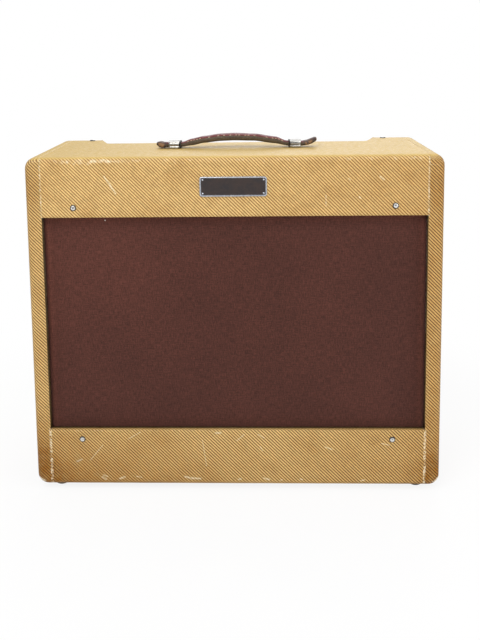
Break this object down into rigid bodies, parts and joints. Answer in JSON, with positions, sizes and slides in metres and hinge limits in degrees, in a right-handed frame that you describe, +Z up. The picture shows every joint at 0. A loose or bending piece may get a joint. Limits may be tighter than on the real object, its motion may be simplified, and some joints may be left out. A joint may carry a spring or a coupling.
{
  "type": "guitar amplifier",
  "caption": "Open-back guitar amplifier: cloth-covered box with recessed grille, leather strap handle, rear control recess and speakers on a baffle.",
  "frame": {"origin": "on the floor, under the middle of the box", "axes": "+X to the right of someone facing the grille, +Y from the grille to the back, +Z up"},
  "size_m": [0.559, 0.2559, 0.4907],
  "materials": {
    "pine": "bare pine, satin",
    "plywood": "bare plywood",
    "tweed": "striped woven cloth under lacquer",
    "grille_cloth": "coarse linen weave",
    "leather": "worn leather",
    "nickel": "nickel plate, slightly worn",
    "badge": "plated rim round a dark field",
    "steel": "zinc-plated steel",
    "chrome_sheet": "plated sheet",
    "black_rubber": "matte",
    "glide": "worn, dark",
    "frame_paint": "grey enamel",
    "motor_paint": "gold-brown enamel",
    "cone_paper": "pressed paper pulp",
    "edge_cloth": "doped cloth",
    "cork": "pressed cork",
    "bakelite": "moulded phenolic",
    "aluminium": "satin",
    "glass": "clear",
    "jewel": "faceted red",
    "lamination": "black varnish",
    "fibre_board": "waxed fibre board"
  },
  "bodies": {
    "cabinet": {"side_board_left": "pine", "side_board_right": "pine", "top_board": "pine", "bottom_board": "pine", "upper_front_panel": "pine", "lower_front_panel": "pine", "back_cleats": "pine", "baffle_board": "plywood", "tweed_left": "tweed", "tweed_right": "tweed", "tweed_top": "tweed", "tweed_bottom": "tweed", "upper_back_panel": "tweed", "lower_back_panel": "tweed", "grille_cloth": "grille_cloth", "handle_caps": "nickel", "baffle_screws": "nickel", "chassis_screws": "nickel", "badge_pins": "nickel", "pilot_bezel": "nickel", "panel_nuts": "nickel", "input_jacks": "nickel", "badge_plate": "badge", "wood_screws": "steel", "hex_nuts": "steel", "speaker_bolts": "steel", "potentiometers": "steel", "switch_housings": "steel", "chassis": "chrome_sheet", "cord_grommet": "black_rubber", "glide_feet": "glide", "speaker_frame_left": "frame_paint", "speaker_frame_right": "frame_paint", "speaker_motor_left": "motor_paint", "speaker_motor_right": "motor_paint", "speaker_surround_left": "edge_cloth", "speaker_surround_right": "edge_cloth", "speaker_spider_left": "edge_cloth", "speaker_spider_right": "edge_cloth", "speaker_gaskets": "cork", "fuse_holder": "bakelite", "tube_sockets": "bakelite", "power_tube_bases": "bakelite", "preamp_tube_shields": "aluminium", "power_tube_glass": "glass", "pilot_jewel": "jewel", "power_transformer": "lamination", "output_transformer": "lamination", "circuit_board": "fibre_board"},
    "bright_volume": {"bright_volume_knob": "bakelite", "bright_volume_shaft": "aluminium"},
    "normal_volume": {"normal_volume_knob": "bakelite", "normal_volume_shaft": "aluminium"},
    "tone": {"tone_knob": "bakelite", "tone_shaft": "aluminium"},
    "power_switch": {"power_toggle": "nickel"},
    "standby_switch": {"standby_toggle": "nickel"},
    "left_cone": {"speaker_cone_left": "cone_paper"},
    "right_cone": {"speaker_cone_right": "cone_paper"},
    "handle": {"handle_strap": "leather"}
  },
  "joints": [
    {"name": "bright_volume_turn", "type": "hinge", "parent": "cabinet", "child": "bright_volume", "pos_m": [0.0435, 0.082, 0.455], "axis": [0, 0, 1], "range_deg": [-120, 180]},
    {"name": "normal_volume_turn", "type": "hinge", "parent": "cabinet", "child": "normal_volume", "pos_m": [0, 0.082, 0.455], "axis": [0, 0, 1], "range_deg": [-120, 180]},
    {"name": "tone_turn", "type": "hinge", "parent": "cabinet", "child": "tone", "pos_m": [-0.0435, 0.082, 0.455], "axis": [0, 0, 1], "range_deg": [-120, 180]},
    {"name": "power_switch_throw", "type": "hinge", "parent": "cabinet", "child": "power_switch", "pos_m": [-0.087, 0.082, 0.452], "axis": [1, 0, 0], "range_deg": [-24, 0]},
    {"name": "standby_switch_throw", "type": "hinge", "parent": "cabinet", "child": "standby_switch", "pos_m": [-0.116, 0.082, 0.452], "axis": [1, 0, 0], "range_deg": [-24, 0]},
    {"name": "left_cone_travel", "type": "slide", "parent": "cabinet", "child": "left_cone", "axis": [0, 1, 0], "range_m": [-0.0015, 0.0015], "stiffness_N_per_m": 2500, "deforming": ["speaker_surround_left", "speaker_spider_left"]},
    {"name": "right_cone_travel", "type": "slide", "parent": "cabinet", "child": "right_cone", "axis": [0, 1, 0], "range_m": [-0.0015, 0.0015], "stiffness_N_per_m": 2500, "deforming": ["speaker_surround_right", "speaker_spider_right"]},
    {"name": "handle_slip", "type": "slide", "parent": "cabinet", "child": "handle", "axis": [1, 0, 0], "range_m": [-0.003, 0.003]}
  ]
}
